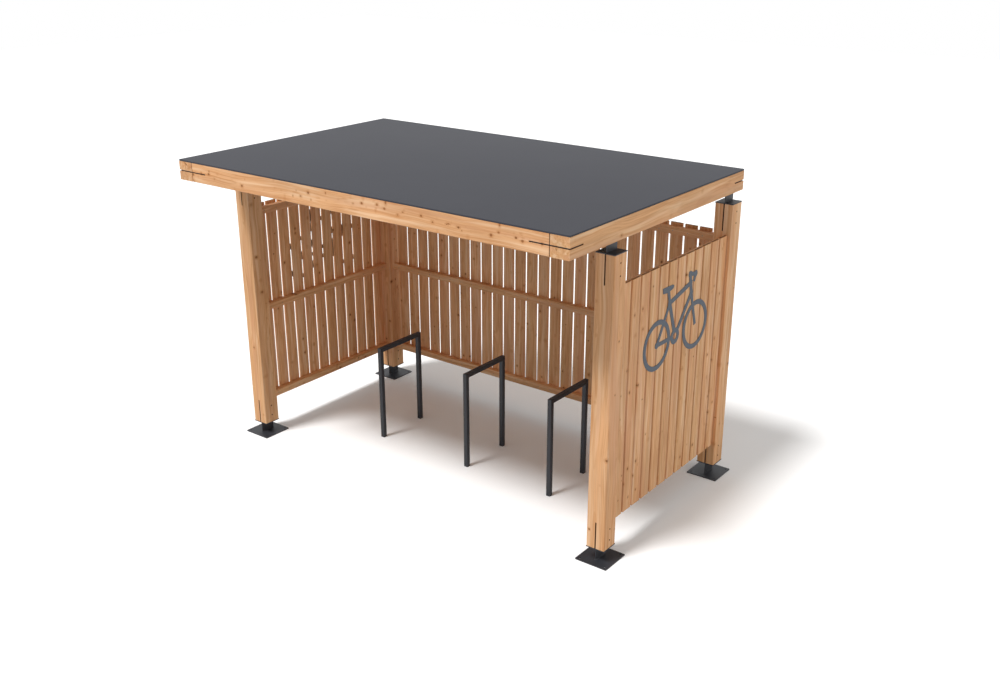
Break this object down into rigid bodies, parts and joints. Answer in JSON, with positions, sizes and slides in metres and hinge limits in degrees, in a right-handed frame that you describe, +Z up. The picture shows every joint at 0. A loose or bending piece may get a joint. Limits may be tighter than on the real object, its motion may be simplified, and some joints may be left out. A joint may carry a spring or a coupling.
{
  "type": "bike shelter",
  "caption": "Open-fronted timber shelter on steel feet with a flat overhanging roof, slatted side and back walls and parking hoops for bicycles.",
  "frame": {"origin": "on the ground, in the middle of the whole outline", "axes": "+Z up, +X along the length to the right seen from the open front, +Y from the open front to the back wall"},
  "size_m": [3.61, 2.29, 2.42],
  "materials": {
    "wood_frame": "planed softwood, untreated",
    "wood_boards": "planed softwood boards, untreated",
    "roof_deck": "plain panel",
    "dark_steel": "powder coated, fine texture",
    "roof_covering": "matt roofing membrane",
    "sign_metal": "powder coated sheet"
  },
  "bodies": {
    "root": {"post_front_left": "wood_frame", "post_front_right": "wood_frame", "post_back_left": "wood_frame", "post_back_right": "wood_frame", "beam_left": "wood_frame", "beam_right": "wood_frame", "beam_front": "wood_frame", "beam_back": "wood_frame", "roof_joist_1": "wood_frame", "roof_joist_2": "wood_frame", "roof_joist_3": "wood_frame", "roof_joist_4": "wood_frame", "roof_joist_5": "wood_frame", "left_boards": "wood_boards", "left_rail_bottom": "wood_boards", "left_rail_middle": "wood_boards", "left_rail_top": "wood_boards", "right_boards": "wood_boards", "right_rail_bottom": "wood_boards", "right_rail_middle": "wood_boards", "right_rail_top": "wood_boards", "back_boards": "wood_boards", "back_rail_bottom": "wood_boards", "back_rail_middle": "wood_boards", "back_rail_top": "wood_boards", "roof_deck": "roof_deck", "foot_front_left": "dark_steel", "foot_front_right": "dark_steel", "foot_back_left": "dark_steel", "foot_back_right": "dark_steel", "head_front_left": "dark_steel", "head_front_right": "dark_steel", "head_back_left": "dark_steel", "head_back_right": "dark_steel", "corner_plate_front_left": "dark_steel", "corner_plate_front_right": "dark_steel", "corner_plate_back_left": "dark_steel", "corner_plate_back_right": "dark_steel", "bike_hoop_left": "dark_steel", "bike_hoop_middle": "dark_steel", "bike_hoop_right": "dark_steel", "roof_sheet": "roof_covering", "bike_sign": "sign_metal"}
  },
  "joints": []
}
